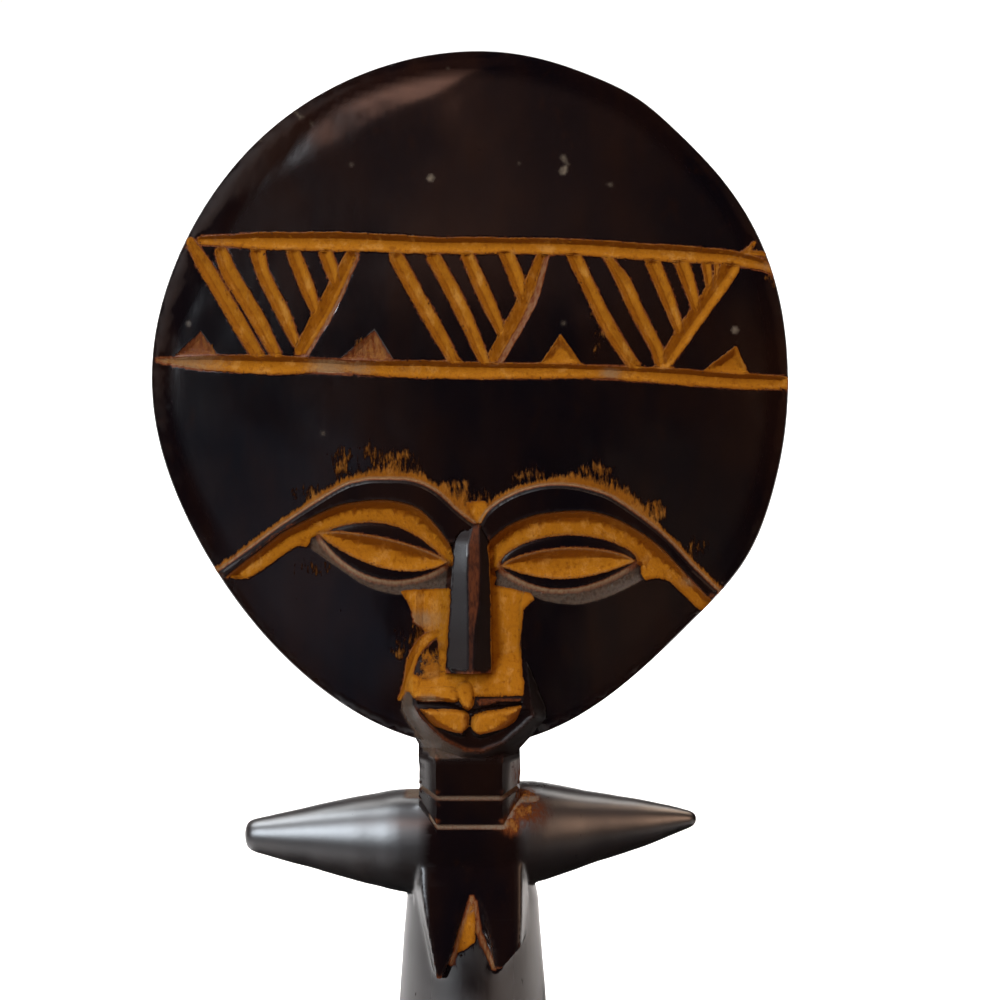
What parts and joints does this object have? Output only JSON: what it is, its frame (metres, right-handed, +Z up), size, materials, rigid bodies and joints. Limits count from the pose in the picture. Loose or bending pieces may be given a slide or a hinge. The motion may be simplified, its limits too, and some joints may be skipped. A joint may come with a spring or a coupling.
{
  "type": "wooden figure",
  "caption": "Carved black wooden doll figure with a large flat round head, a ringed neck, stub arms and a column body on a low round base.",
  "frame": {"origin": "centre of the round base's underside", "axes": "+Z up along the body, the figure looks along -Y, +X is to the right of someone facing the figure"},
  "size_m": [0.1522, 0.074, 0.3265],
  "materials": {
    "black_stained_wood": "black stain, polished semi-gloss, with yellow ochre rubbed into the carved cuts"
  },
  "bodies": {
    "root": {"figure": "black_stained_wood"}
  },
  "joints": []
}
